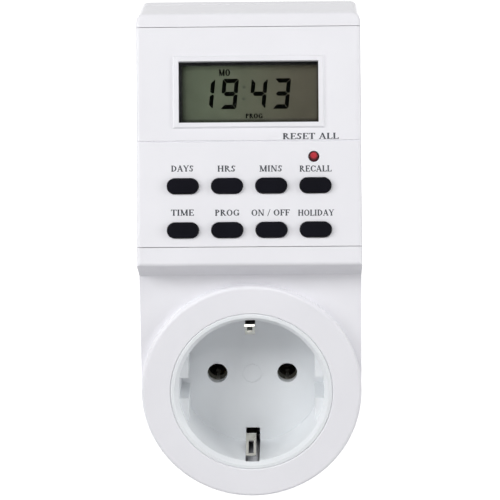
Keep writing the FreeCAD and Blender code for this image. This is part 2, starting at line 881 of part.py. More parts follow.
def main_board():
    board = box(-main_board_half, main_board_half, board_front_y, board_back_y,
                main_board_low, main_board_high)
    holes = [rod(small_screw_radius + screw_clearance, x, z, -far, far) for x, z in standoff_places]
    return without(board, holes)


def main_board_screws():
    head_y = board_front_y - small_head_height
    length = board_thickness + board_standoff
    return Part.Compound([small_screw(place, head_y, 1, length) for place in standoff_places])


def above_board(place):
    """A component's X and Z from its place on the power board."""
    return place[0], main_board_low + place[1]


def block_on_board(size, place):
    across, height, up = size
    return frame_box(across / 2, up / 2, board_front_y - height, board_front_y, above_board(place))


def relay():
    case = block_on_board(relay_size, relay_place)
    return case.makeFillet(relay_round, edges_along_y(case) + edges_at(case, board_front_y - relay_size[1]))


def mains_capacitor():
    body = block_on_board(mains_capacitor_size, mains_capacitor_place)
    return body.makeFillet(mains_capacitor_round, edges_along_y(body))


def smoothing_capacitor():
    """A can with the crimped groove near its base."""
    x, z = above_board(smoothing_place)
    can = rod(smoothing_radius, x, z, board_front_y - smoothing_height, board_front_y)
    groove_y = board_front_y - smoothing_height / 5
    groove = rod(smoothing_radius + wall, x, z, groove_y - smoothing_groove, groove_y + smoothing_groove)
    return can.cut(groove.cut(rod(smoothing_radius - smoothing_groove, x, z, -far, far)))


def backup_battery():
    x, z = above_board(battery_place)
    base_y = board_front_y - tab_thickness
    cell = rod(battery_radius, x, z, base_y - battery_thickness, base_y)
    ends = edges_at(cell, base_y) + edges_at(cell, base_y - battery_thickness)
    return cell.makeFillet(battery_round, ends)


def battery_tabs():
    """A tab under the cell, and one over it that bends down to the board."""
    x, z = above_board(battery_place)
    half = tab_width / 2
    over_y = board_front_y - tab_thickness - battery_thickness
    post_z = z + battery_radius + tab_thickness
    under = box(x - half, x + half, board_front_y - tab_thickness, board_front_y,
                z - battery_radius, z + battery_radius / 2)
    over = box(x - half, x + half, over_y - tab_thickness, over_y, z - half, post_z + tab_thickness)
    post = box(x - half, x + half, over_y - tab_thickness, board_front_y, post_z, post_z + tab_thickness)
    return Part.Compound([under, joined([over, post])])


def varistor():
    x, z = above_board(varistor_place)
    y = board_front_y - varistor_stand - varistor_radius
    disc = Part.makeCylinder(varistor_radius, varistor_thickness, Vec(x, y, z - varistor_thickness / 2),
                             Vec(0, 0, 1))
    leads = [rod(lead_radius, x + side * varistor_radius / 2, z, y, board_front_y) for side in (-1, 1)]
    return joined([disc] + leads)


def axial_part(x, z, size):
    """A part with a lead each end bent down to the board, lying along X."""
    radius, length, reach = size
    y = board_front_y - radius - lead_radius
    body = cross_rod(radius, x - length / 2, x + length / 2, y, z)
    wire = cross_rod(lead_radius, x - reach, x + reach, y, z)
    foot_x = reach - lead_radius
    feet = [rod(foot_radius, x + side * foot_x, z, y, board_front_y) for side in (-1, 1)]
    return joined([body, wire] + feet)


def fuse_link():
    x, z = above_board(fuse_place)
    return axial_part(x, z, (fuse_radius, fuse_length, fuse_length / 2 + fuse_radius))


def bridge_rectifier():
    body = block_on_board(rectifier_size, rectifier_place)
    x, z = above_board(rectifier_place)
    mark_x = x - rectifier_size[0] / 2
    top_y = board_front_y - rectifier_size[1]
    return body.cut(box(mark_x - wall, mark_x + 0.8, top_y - wall, top_y + 0.4, z - 0.8, z + 0.8))


def driver_transistor():
    x, z = above_board(transistor_place)
    top_y = board_front_y - transistor_stand - transistor_height
    body = rod(transistor_radius, x, z, top_y, board_front_y - transistor_stand)
    body = body.cut(box(-far, far, -far, far, z + transistor_radius / 2, far))
    legs = [rod(lead_radius, x + k * leg_pitch, z, board_front_y - transistor_stand, board_front_y)
            for k in (-1, 0, 1)]
    return joined([body] + legs)


def axial_row(size, place, count):
    x, z = above_board(place)
    return Part.Compound([axial_part(x, z + k * axial_pitch, size) for k in range(count)])


def link_cable():
    """A flat cable from the power board's header to the back of the display board."""
    x, z = above_board(header_place)
    start_y = board_front_y - header_size[1]
    half = cable_thickness / 2
    bend_y = start_y - cable_thickness
    low_z = z - cable_drop
    points = [(start_y, z - half), (start_y, z + half), (bend_y - half, z + half)]
    points += [(slope_y(end_z, display_board_back), end_z) for end_z in (low_z + half, low_z - half)]
    points.append((bend_y, z - half))
    return plate_x(points, x - cable_width / 2, x + cable_width / 2)


key_names = ("days_key", "hours_key", "minutes_key", "recall_key",
             "clock_key", "program_key", "mode_key", "holiday_key")

pieces = {
    "front_shell": front_shell(),
    "rear_shell": rear_shell(),
    "control_panel": control_panel(),
    "socket_well": socket_well(),
    "plug_body": plug_body(),
    "contact_carrier": contact_carrier(),
    "plug_pin_left": plug_pin(-1),
    "plug_pin_right": plug_pin(1),
    "neutral_busbar": busbar(-1),
    "line_busbar": busbar(1),
    "neutral_contact": neutral_contact(),
    "line_contact": line_contact(),
    "earth_bracket": earth_bracket(),
    "earth_clip_top": earth_clip(1),
    "earth_clip_bottom": earth_clip(-1),
    "display_window": display_window(),
    "display_gasket": display_gasket(),
    "lcd_cell": glass_plate(glass_depth, reflector_depth),
    "lcd_reflector": glass_plate(reflector_depth, zebra_depth),
    "display_holder": display_holder(),
    "zebra_strip": zebra_strip(),
    "display_board": display_board(),
    "clock_chip": clock_chip(),
    "quartz_crystal": quartz_crystal(),
    "keypad_mat": keypad_mat(),
    "reset_button": reset_button(),
    "reset_switch": reset_switch(),
    "main_board": main_board(),
    "relay": relay(),
    "mains_capacitor": mains_capacitor(),
    "smoothing_capacitor": smoothing_capacitor(),
    "backup_battery": backup_battery(),
    "battery_tabs": battery_tabs(),
    "varistor": varistor(),
    "fuse_link": fuse_link(),
    "bridge_rectifier": bridge_rectifier(),
    "driver_transistor": driver_transistor(),
    "resistors": axial_row(resistor_size, resistor_place, 2),
    "diodes": axial_row(diode_size, diode_place, 2),
    "link_header": block_on_board(header_size, header_place),
    "link_cable": link_cable(),
    "case_screws": case_screws(),
    "display_board_screws": display_board_screws(),
    "main_board_screws": main_board_screws(),
    "carrier_screws": carrier_screws(),
}
for key_name, key_place in zip(key_names, key_places()):
    pieces[key_name] = key(key_place)

os.makedirs("parts", exist_ok=True)
for name, shape in pieces.items():
    shape.exportStep("parts/" + name + ".step")
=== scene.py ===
import math

import bmesh
import bpy
from mathutils import Matrix, Vector


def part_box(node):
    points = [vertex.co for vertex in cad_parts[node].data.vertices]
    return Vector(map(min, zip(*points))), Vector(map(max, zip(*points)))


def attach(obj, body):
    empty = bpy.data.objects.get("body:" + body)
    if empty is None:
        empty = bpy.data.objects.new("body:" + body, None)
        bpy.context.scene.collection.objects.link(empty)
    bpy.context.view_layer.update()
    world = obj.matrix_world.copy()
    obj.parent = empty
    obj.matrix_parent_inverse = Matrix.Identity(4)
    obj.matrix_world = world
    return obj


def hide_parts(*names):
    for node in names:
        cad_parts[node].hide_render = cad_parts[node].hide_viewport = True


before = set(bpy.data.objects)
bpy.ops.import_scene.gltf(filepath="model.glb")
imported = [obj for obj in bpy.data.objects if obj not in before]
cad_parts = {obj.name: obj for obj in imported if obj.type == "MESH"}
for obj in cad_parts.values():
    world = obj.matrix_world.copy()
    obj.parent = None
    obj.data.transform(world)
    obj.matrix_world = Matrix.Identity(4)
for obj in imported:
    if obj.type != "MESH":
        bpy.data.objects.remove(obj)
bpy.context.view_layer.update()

MM = 0.001
HOUSING = "housing"
WHITE_LIGHT = (1.0, 1.0, 1.0, 1.0)

# The slope of the control panel: its bottom front edge, and its tilt back from upright
PANEL_TILT = math.radians(17.0)
PANEL_ORIGIN = Vector((0.0, -42.4, 36.5)) * MM
PANEL_TURN = Matrix.Rotation(-PANEL_TILT, 3, "X")


def add_object(name, data):
    added = bpy.data.objects.new(name, data)
    bpy.context.scene.collection.objects.link(added)
    return added


# Nodes that the materials, the world and the floor are made of

NOISE_RANGE = (0.3, 0.7)


def new_material(name):
    """A material with an empty node tree, and the object coordinates in it, which are in metres."""
    material = bpy.data.materials.new(name)
    material.use_nodes = True
    tree = material.node_tree
    tree.nodes.clear()
    coords = tree.nodes.new("ShaderNodeTexCoord").outputs["Object"]
    return material, tree, coords


def add(tree, kind, **inputs):
    """A node with its own sockets set; a space in a socket's name is written as an underscore."""
    node = tree.nodes.new(kind)
    for key, value in inputs.items():
        node.inputs[key.replace("_", " ")].default_value = value
    return node


def end_in(tree, kind, shader):
    """Links a shader to the tree's output node, of the kind that a material or a world has."""
    tree.links.new(shader, tree.nodes.new(kind).inputs["Surface"])


def noise(tree, coords, scale, detail=3.0):
    node = add(tree, "ShaderNodeTexNoise", Scale=scale, Detail=detail)
    tree.links.new(coords, node.inputs["Vector"])
    return node.outputs["Fac"]


def mapped(tree, value, source, target, interpolation="LINEAR"):
    """Maps the source range of a value onto the target range."""
    node = tree.nodes.new("ShaderNodeMapRange")
    node.interpolation_type = interpolation
    for socket, number in zip(("From Min", "From Max", "To Min", "To Max"), (*source, *target)):
        node.inputs[socket].default_value = number
    tree.links.new(value, node.inputs["Value"])
    return node.outputs["Result"]


def between(tree, factor, low, high):
    """Maps the range that a noise mostly keeps to onto low to high."""
    return mapped(tree, factor, NOISE_RANGE, (low, high))


def rising(tree, value, start, end, low):
    """From low at start to one at end, smoothly; start may be the larger."""
    if start > end:
        return mapped(tree, value, (end, start), (1.0, low), "SMOOTHSTEP")
    return mapped(tree, value, (start, end), (low, 1.0), "SMOOTHSTEP")


def blended(tree, factor, colour_a, colour_b):
    node = tree.nodes.new("ShaderNodeMix")
    node.data_type = "RGBA"
    node.inputs["A"].default_value = (*colour_a, 1.0)
    node.inputs["B"].default_value = (*colour_b, 1.0)
    tree.links.new(factor, node.inputs["Factor"])
    return node.outputs["Result"]


def scaled(tree, colour, factor):
    node = tree.nodes.new("ShaderNodeVectorMath")
    node.operation = "SCALE"
    tree.links.new(colour, node.inputs[0])
    tree.links.new(factor, node.inputs["Scale"])
    return node.outputs["Vector"]


def length(tree, vector):
    node = tree.nodes.new("ShaderNodeVectorMath")
    node.operation = "LENGTH"
    tree.links.new(vector, node.inputs[0])
    return node.outputs["Value"]


def separate(tree, coords):
    """The outputs X, Y and Z of the coordinates."""
    node = tree.nodes.new("ShaderNodeSeparateXYZ")
    tree.links.new(coords, node.inputs["Vector"])
    return node.outputs


def combined(tree, operation, values):
    """The product, the largest or the like of several values."""
    result = values[0]
    for value in values[1:]:
        node = tree.nodes.new("ShaderNodeMath")
        node.operation = operation
        tree.links.new(result, node.inputs[0])
        tree.links.new(value, node.inputs[1])
        result = node.outputs["Value"]
    return result


def mixed(tree, factor, shader_a, shader_b):
    node = tree.nodes.new("ShaderNodeMixShader")
    tree.links.new(factor, node.inputs["Fac"])
    tree.links.new(shader_a, node.inputs[1])
    tree.links.new(shader_b, node.inputs[2])
    return node.outputs["Shader"]


# Kinds of material: noise scales are per metre

PATCH_SCALE = 60.0
GLOSS_SCALE = 540.0
GRAIN_SCALE = 2500.0
GRAIN_DETAIL = 2.0
GRAIN_HEIGHT = 0.02 * MM
# How dark painted shade makes a colour where it is full
PAINTED_SHADE_LEVEL = 0.02


def surface(name, dark, light, rough, grain=0.0, grain_scale=GRAIN_SCALE, painted_shade=None, **fixed):
    """A moulded, plated or printed surface: soft patches of tone, uneven gloss and a fine grain.

    It may darken towards the rear with painted shade, given where along Y the shade starts and
    where it is full.
    """
    material, tree, coords = new_material(name)
    shader = add(tree, "ShaderNodeBsdfPrincipled", **fixed)
    patches = between(tree, noise(tree, coords, PATCH_SCALE), 0.0, 1.0)
    colour = blended(tree, patches, dark, light)
    if painted_shade:
        start, full = painted_shade
        bright = rising(tree, separate(tree, coords)["Y"], full, start, PAINTED_SHADE_LEVEL)
        colour = scaled(tree, colour, bright)
    tree.links.new(colour, shader.inputs["Base Color"])
    gloss = between(tree, noise(tree, coords, GLOSS_SCALE), *rough)
    tree.links.new(gloss, shader.inputs["Roughness"])
    if grain:
        bump = add(tree, "ShaderNodeBump", Strength=grain, Distance=GRAIN_HEIGHT)
        tree.links.new(noise(tree, coords, grain_scale, GRAIN_DETAIL), bump.inputs["Height"])
        tree.links.new(bump.outputs["Normal"], shader.inputs["Normal"])
    end_in(tree, "ShaderNodeOutputMaterial", shader.outputs["BSDF"])
    return material


PANE_TINT = (0.97, 0.98, 0.97, 1.0)
PANE_SHADE = (0.96, 0.97, 0.96, 1.0)
PANE_IOR = 1.05
PANE_HAZE = (0.0, 0.015)
PANE_HAZE_SCALE = 150.0


def clear_pane(name):
    """A clear moulded pane that lets the lamps through."""
    material, tree, coords = new_material(name)
    shader = add(tree, "ShaderNodeBsdfPrincipled", Base_Color=PANE_TINT, IOR=PANE_IOR,
                 Transmission_Weight=1.0)
    haze = between(tree, noise(tree, coords, PANE_HAZE_SCALE), *PANE_HAZE)
    tree.links.new(haze, shader.inputs["Roughness"])
    through = add(tree, "ShaderNodeBsdfTransparent", Color=PANE_SHADE)
    ray = tree.nodes.new("ShaderNodeLightPath").outputs
    passing = combined(tree, "MAXIMUM", [ray["Is Shadow Ray"], ray["Is Diffuse Ray"]])
    both = mixed(tree, passing, shader.outputs["BSDF"], through.outputs["BSDF"])
    end_in(tree, "ShaderNodeOutputMaterial", both)
    return material


GLASS_GREEN = (0.114, 0.134, 0.091)
GLASS_BROWN = (0.093, 0.083, 0.06)
GLASS_HALF_WIDTH = 18.0 * MM
GLASS_CLOUD = (0.93, 1.07)
GLASS_CLOUD_SCALE = 260.0
GLASS_ROUGH = (0.3, 0.4)
GLASS_ROUGH_SCALE = 300.0
# Painted shade at the edges, where the frame shadows the glass: the axis, where along it in mm the
# shade is darkest and where it ends, and how dark
GLASS_EDGE_SHADOWS = (
    ("X", -18.0, -15.8, 0.08),
    ("X", 18.25, 17.4, 0.2),
    ("Z", 71.6, 72.4, 0.25),
)


def glass_face(name):
    """Grey green on the left and browner to the right, with a soft cloud and painted shade at the
    edges.
    """
    material, tree, coords = new_material(name)
    place = separate(tree, coords)
    across = rising(tree, place["X"], -GLASS_HALF_WIDTH, GLASS_HALF_WIDTH, 0.0)
    wash = blended(tree, across, GLASS_GREEN, GLASS_BROWN)
    shades = [between(tree, noise(tree, coords, GLASS_CLOUD_SCALE), *GLASS_CLOUD)]
    for axis, darkest, clear, low in GLASS_EDGE_SHADOWS:
        shades.append(rising(tree, place[axis], darkest * MM, clear * MM, low))
    shader = add(tree, "ShaderNodeBsdfPrincipled", Specular_IOR_Level=0.1)
    colour = scaled(tree, wash, combined(tree, "MULTIPLY", shades))
    tree.links.new(colour, shader.inputs["Base Color"])
    gloss = between(tree, noise(tree, coords, GLASS_ROUGH_SCALE), *GLASS_ROUGH)
    tree.links.new(gloss, shader.inputs["Roughness"])
    end_in(tree, "ShaderNodeOutputMaterial", shader.outputs["BSDF"])
    return material


# Where the painted shade on the cap's rim starts and where it is full
CAP_MIDDLE_RADIUS = 0.5 * MM
CAP_RIM_RADIUS = 1.1 * MM
CAP_ROUGH = (0.24, 0.3)


def round_cap(name, node, middle, shaded_rim):
    """A small round cap on the slope, darkened towards its rounded edge with painted shade for that
    edge's flank and the gap around it.
    """
    material, tree, coords = new_material(name)
    low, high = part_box(node)
    turned = add(tree, "ShaderNodeMapping", Location=[(a + b) / 2 for a, b in zip(low, high)],
                 Rotation=(-PANEL_TILT, 0.0, 0.0))
    turned.vector_type = "TEXTURE"
    tree.links.new(coords, turned.inputs["Vector"])
    flat = tree.nodes.new("ShaderNodeVectorMath")
    flat.operation = "MULTIPLY"
    flat.inputs[1].default_value = (1.0, 0.0, 1.0)
    tree.links.new(turned.outputs["Vector"], flat.inputs[0])
    away = length(tree, flat.outputs["Vector"])
    rim_shade = rising(tree, away, CAP_MIDDLE_RADIUS, CAP_RIM_RADIUS, 0.0)
    shader = add(tree, "ShaderNodeBsdfPrincipled", Specular_IOR_Level=0.25)
    tree.links.new(blended(tree, rim_shade, middle, shaded_rim), shader.inputs["Base Color"])
    gloss = between(tree, noise(tree, turned.outputs["Vector"], GLOSS_SCALE), *CAP_ROUGH)
    tree.links.new(gloss, shader.inputs["Roughness"])
    end_in(tree, "ShaderNodeOutputMaterial", shader.outputs["BSDF"])
    return material


# Plastics, rubbers and prints

WHITE = surface("white_plastic", (0.842, 0.838, 0.872), (0.868, 0.864, 0.898),
                rough=(0.3, 0.42), grain=0.12)
WELL_WHITE = surface("socket_white", (0.80, 0.822, 0.842), (0.835, 0.858, 0.878),
                     rough=(0.29, 0.32), grain=0.03)
INNER = surface("inner_plastic", (0.66, 0.65, 0.6), (0.72, 0.71, 0.67),
                rough=(0.45, 0.6), grain=0.15)
KEY_BLACK = surface("key_black", (0.0035, 0.0035, 0.006), (0.005, 0.005, 0.009),
                    rough=(0.3, 0.42), grain=0.25, grain_scale=3500.0, Specular_IOR_Level=0.05)
# The reset cap's dark rim is painted shade; its middle is the cap's own red
RESET_RED = round_cap("reset_red", "reset_button", (0.51, 0.023, 0.038), (0.06, 0.003, 0.007))
# Black foam gasket; where it shows at the top and left of the display, its black stands in for the
# frame's shadow there, as painted shade
GASKET_AND_SHADE = surface("gasket_foam", (0.008, 0.008, 0.009), (0.014, 0.014, 0.015),
                 rough=(0.7, 0.9), grain=0.6, grain_scale=6000.0)
BOARD = surface("board_laminate", (0.03, 0.12, 0.045), (0.05, 0.17, 0.07),
                rough=(0.35, 0.5), grain=0.2, grain_scale=1500.0)
EPOXY = surface("epoxy_black", (0.012, 0.012, 0.014), (0.022, 0.022, 0.024),
                rough=(0.45, 0.6), grain=0.4)
RUBBER = surface("mat_rubber", (0.42, 0.42, 0.43), (0.48, 0.48, 0.5),
                 rough=(0.6, 0.75), grain=0.3)
PINK = surface("zebra_rubber", (0.5, 0.22, 0.22), (0.6, 0.28, 0.28),
               rough=(0.6, 0.75), grain=0.2)
FILM = surface("reflector_film", (0.3, 0.31, 0.27), (0.36, 0.37, 0.33),
               rough=(0.3, 0.45), grain=0.05)
YELLOW = surface("capacitor_yellow", (0.52, 0.36, 0.05), (0.62, 0.44, 0.08),
                 rough=(0.3, 0.42), grain=0.1)
SLEEVE = surface("capacitor_sleeve", (0.012, 0.014, 0.03), (0.02, 0.024, 0.045),
                 rough=(0.25, 0.38), grain=0.05)
BLUE = surface("varistor_blue", (0.03, 0.08, 0.3), (0.05, 0.12, 0.4),
               rough=(0.28, 0.4), grain=0.2)
FUSE = surface("fuse_body", (0.55, 0.57, 0.56), (0.66, 0.68, 0.67), rough=(0.08, 0.16))
TAN = surface("resistor_body", (0.4, 0.27, 0.14), (0.5, 0.35, 0.2),
              rough=(0.3, 0.42), grain=0.1)
CABLE = surface("cable_grey", (0.3, 0.3, 0.32), (0.36, 0.36, 0.38),
                rough=(0.45, 0.6), grain=0.2)
LEGEND = surface("legend_ink", (0.036, 0.039, 0.05), (0.05, 0.054, 0.066), rough=(0.5, 0.6))
SEGMENT = surface("display_segment", (0.001, 0.0013, 0.001), (0.002, 0.0023, 0.0017),
                  rough=(0.3, 0.4), Specular_IOR_Level=0.0)
FAINT = surface("display_faint", (0.064, 0.072, 0.052), (0.07, 0.078, 0.055),
                rough=(0.3, 0.4), Specular_IOR_Level=0.1)
WINDOW = clear_pane("clear_window")
GLASS = glass_face("display_glass")

# Metals; the clips are darkened behind their front legs with painted shade for the shadow in their
# slots, given along Y

CLIP_PAINTED_SHADE = (-27.5 * MM, -24.5 * MM)

PIN_METAL = surface("pin_metal", (0.68, 0.67, 0.64), (0.76, 0.75, 0.71),
                    rough=(0.16, 0.28), grain=0.1, Metallic=1.0)
BRASS = surface("brass", (0.62, 0.45, 0.18), (0.74, 0.56, 0.26),
                rough=(0.25, 0.4), grain=0.12, Metallic=1.0)
# Tarnished brass for the contacts, made dark also as painted shade for their place deep in the pin
# holes
DARK_BRASS_AND_SHADE = surface("dull_brass_and_shade", (0.1, 0.1, 0.085), (0.15, 0.15, 0.125),
                     rough=(0.4, 0.55), grain=0.12, Metallic=1.0)
CLIP_METAL = surface("clip_metal", (0.74, 0.73, 0.66), (0.86, 0.85, 0.78),
                     rough=(0.26, 0.4), grain=0.2, painted_shade=CLIP_PAINTED_SHADE, Metallic=1.0)
STRIP_METAL = surface("strip_metal", (0.58, 0.55, 0.48), (0.7, 0.67, 0.6),
                      rough=(0.26, 0.4), grain=0.2, Metallic=1.0)
SCREW_METAL = surface("screw_metal", (0.46, 0.46, 0.47), (0.58, 0.58, 0.59),
                      rough=(0.25, 0.4), grain=0.2, Metallic=1.0)
CAN = surface("can_metal", (0.6, 0.6, 0.61), (0.7, 0.7, 0.7),
              rough=(0.22, 0.34), grain=0.1, Metallic=1.0)

BY_NODE = {
    "front_shell": WHITE,
    "rear_shell": WHITE,
    "control_panel": WHITE,
    "plug_body": WHITE,
    "socket_well": WELL_WHITE,
    "contact_carrier": INNER,
    "display_holder": INNER,
    "link_header": INNER,
    "plug_pin_left": PIN_METAL,
    "plug_pin_right": PIN_METAL,
    "neutral_busbar": BRASS,
    "line_busbar": BRASS,
    "neutral_contact": DARK_BRASS_AND_SHADE,
    "line_contact": DARK_BRASS_AND_SHADE,
    "earth_bracket": STRIP_METAL,
    "earth_clip_top": CLIP_METAL,
    "earth_clip_bottom": CLIP_METAL,
    "display_window": WINDOW,
    "display_gasket": GASKET_AND_SHADE,
    "lcd_cell": GLASS,
    "lcd_reflector": FILM,
    "zebra_strip": PINK,
    "display_board": BOARD,
    "main_board": BOARD,
    "clock_chip": EPOXY,
    "bridge_rectifier": EPOXY,
    "driver_transistor": EPOXY,
    "reset_switch": EPOXY,
    "relay": EPOXY,
    "diodes": EPOXY,
    "quartz_crystal": CAN,
    "backup_battery": CAN,
    "battery_tabs": CAN,
    "keypad_mat": RUBBER,
    "reset_button": RESET_RED,
    "mains_capacitor": YELLOW,
    "smoothing_capacitor": SLEEVE,
    "varistor": BLUE,
    "fuse_link": FUSE,
    "resistors": TAN,
    "link_cable": CABLE,
}


def paint(node, piece):
    if node.endswith("_key"):
        material = KEY_BLACK
    elif node.endswith("_screws"):
        material = SCREW_METAL
    else:
        material = BY_NODE[node]
    piece.data.materials.clear()
    piece.data.materials.append(material)


for node_name, node_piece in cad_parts.items():
    paint(node_name, node_piece)


# Earth clips, with their bends rounded and a slit in the front leg

# Edges along X
CLIP_LEFT = -1.7
CLIP_RIGHT = 1.0
SLIT_LEFT = -1.0
SLIT_RIGHT = 0.35
# Ends and bends, along Y and away from the socket's axis
CLIP_ROOT = (-11.95, 18.1)
CLIP_KNEE = (-20.5, 19.3)
CLIP_NOSE = (-28.5, 14.0)
CLIP_TIP = (-34.6, 18.1)
CLIP_THICKNESS = 0.55
BEND_RADIUS = 1.0
BEND_STEPS = 6
# Start and end of the slit, in shares of the front leg
SLIT_REACH = (0.25, 0.92)


def bent_path(points):
    """The points joined by straight runs, with each inner corner rounded."""
    path = [Vector(points[0])]
    for before, corner, after in zip(points, points[1:], points[2:]):
        corner = Vector(corner)
        back = (Vector(before) - corner).normalized()
        ahead = (Vector(after) - corner).normalized()
        reach = BEND_RADIUS / math.tan(back.angle(ahead) / 2)
        for k in range(BEND_STEPS + 1):
            t = k / BEND_STEPS
            path.append(corner + back * reach * (1 - t) ** 2 + ahead * reach * t ** 2)
    path.append(Vector(points[-1]))
    return path


def with_stations(path, reaches):
    """The path with more points on its last run, at the given shares of that run."""
    start, end = path[-2], path[-1]
    return path[:-1] + [start.lerp(end, reach) for reach in reaches] + [end]


def clip_strip(node, side):
    """A strip bent along its path and as wide as the clip, in place of the clip's node.

    Side is 1 above the socket's axis and -1 below it.
    """
    path = with_stations(bent_path((CLIP_ROOT, CLIP_KNEE, CLIP_NOSE, CLIP_TIP)), SLIT_REACH)
    columns = (CLIP_LEFT, SLIT_LEFT, SLIT_RIGHT, CLIP_RIGHT)
    slit = (len(path) - 3, 1)
    bm = bmesh.new()
    grid = []
    for k, point in enumerate(path):
        run = path[min(k + 1, len(path) - 1)] - path[max(k - 1, 0)]
        normal = Vector((-run.y, run.x)).normalized() * CLIP_THICKNESS / 2
        row = []
        for x in columns:
            for place in (point + normal, point - normal):
                row.append(bm.verts.new(Vector((x, place.x, side * place.y)) * MM))
        grid.append(row)
    cells = [(k, c) for k in range(len(path) - 1) for c in range(len(columns) - 1)]
    cells.remove(slit)
    for k, c in cells:
        near, far = grid[k], grid[k + 1]
        left, right = 2 * c, 2 * c + 2
        bm.faces.new((near[left], near[right], far[right], far[left]))
        bm.faces.new((near[left + 1], far[left + 1], far[right + 1], near[right + 1]))
        for neighbour, corners in (
            ((k - 1, c), (near[left], near[left + 1], near[right + 1], near[right])),
            ((k + 1, c), (far[left], far[right], far[right + 1], far[left + 1])),
            ((k, c - 1), (near[left], far[left], far[left + 1], near[left + 1])),
            ((k, c + 1), (near[right], near[right + 1], far[right + 1], far[right])),
        ):
            if neighbour not in cells:
                bm.faces.new(corners)
    bmesh.ops.recalc_face_normals(bm, faces=bm.faces)
    mesh = bpy.data.meshes.new(node + "_strip")
    bm.to_mesh(mesh)
    bm.free()
    mesh.materials.append(CLIP_METAL)
    piece = add_object(node + "_strip", mesh)
    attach(piece, node)
    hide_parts(node)


clip_strip("earth_clip_top", 1)
clip_strip("earth_clip_bottom", -1)


# Marks laid on the panel and on the display, in millimetres across and up the slope


def on_panel(x, up, depth):
    """The place in the frame of a point given across, up the slope and into it."""
    return PANEL_ORIGIN + PANEL_TURN @ (Vector((x, depth, up)) * MM)


def turned_outward(outline):
    """The outline with its corners in the order that makes its face point out of the slope."""
    area = sum(a[0] * b[1] - b[0] * a[1] for a, b in zip(outline, outline[1:] + outline[:1]))
    return outline if area > 0 else outline[::-1]


def mark_piece(name, outlines, depth, thickness, material):
    """Flat outlines made into thin closed solids that stand on the given depth of the slope."""
    verts = []
    faces = []
    for outline in map(turned_outward, outlines):
        start = len(verts)
        count = len(outline)
        for level in (depth - thickness, depth):
            verts += [on_panel(x, up, level) for x, up in outline]
        faces.append([start + k for k in range(count)])
        faces.append([start + count + k for k in reversed(range(count))])
        for k in range(count):
            after = (k + 1) % count
            faces.append([start + after, start + k, start + count + k, start + count + after])
    mesh = bpy.data.meshes.new(name)
    mesh.from_pydata([tuple(v) for v in verts], [], faces)
    mesh.update()
    mesh.materials.append(material)
    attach(add_object(name, mesh), HOUSING)


# Seven-segment figures, in a cell 1 wide and 2 high whose edges are the middles of the strokes

STROKE = 0.335
HALF_STROKE = STROKE / 2
GAP = 0.02
CORNER = 0.1


def middle_bar():
    low = 1 - HALF_STROKE
    high = 1 + HALF_STROKE
    left = HALF_STROKE + GAP
    right = 1 - HALF_STROKE - GAP
    return [(GAP, 1), (left, low), (right, low), (1 - GAP, 1), (right, high), (left, high)]


def end_bar(y, away):
    """The top or bottom stroke, cut slanting to meet the uprights; away is 1 or -1."""
    outer = HALF_STROKE - GAP
    inner = HALF_STROKE + GAP
    high = y + away * HALF_STROKE
    low = high - away * CORNER / 2
    return [
        (-outer + CORNER, high),
        (1 + outer - CORNER, high),
        (1 + outer - CORNER / 2, low),
        (1 - inner, y - away * HALF_STROKE),
        (inner, y - away * HALF_STROKE),
        (-outer + CORNER / 2, low),
    ]


def upright_bar(x, away):
    """One upright stroke from the middle towards the top or the bottom; away is 1 or -1."""
    inward = 1 - 2 * x
    tip = 1 + away + away * (HALF_STROKE - GAP)
    root = 1 + away * (HALF_STROKE + GAP)
    return [
        (x - inward * HALF_STROKE, tip - away * CORNER),
        (x - inward * (HALF_STROKE - CORNER / 2), tip - away * CORNER / 2),
        (x + inward * HALF_STROKE, tip - away * STROKE),
        (x + inward * HALF_STROKE, root),
        (x, 1 + away * GAP * 2),
        (x - inward * HALF_STROKE, 1 + away * HALF_STROKE / 2),
    ]


SEGMENTS = {
    "a": end_bar(2, 1),
    "b": upright_bar(1, 1),
    "c": upright_bar(1, -1),
    "d": end_bar(0, -1),
    "e": upright_bar(0, -1),
    "f": upright_bar(0, 1),
    "g": middle_bar(),
}
FIGURES = {"1": "bc", "9": "abcdfg", "4": "bcfg", "3": "abcdg"}
LEAN = math.tan(math.radians(5.5))
FIGURE_WIDTH = 3.15
FIGURE_HEIGHT = 6.82
FIGURE_FOOT = 41.5


def figure(character, x):
    """The outlines of a leaning figure whose foot starts at x."""
    cell = FIGURE_HEIGHT / 2
    return [
        [(x + px * FIGURE_WIDTH + py * cell * LEAN, FIGURE_FOOT + py * cell)
         for px, py in SEGMENTS[name]]
        for name in FIGURES[character]
    ]


def dot(x, up, radius, corners=16):
    turns = [2 * math.pi * k / corners for k in range(corners)]
    return [(x + radius * math.cos(t), up + radius * math.sin(t)) for t in turns]


# Capitals, in a cell of height 1

STEM = 0.14
HAIR = 0.07
SERIF = 0.13
BOWL_STEPS = 14
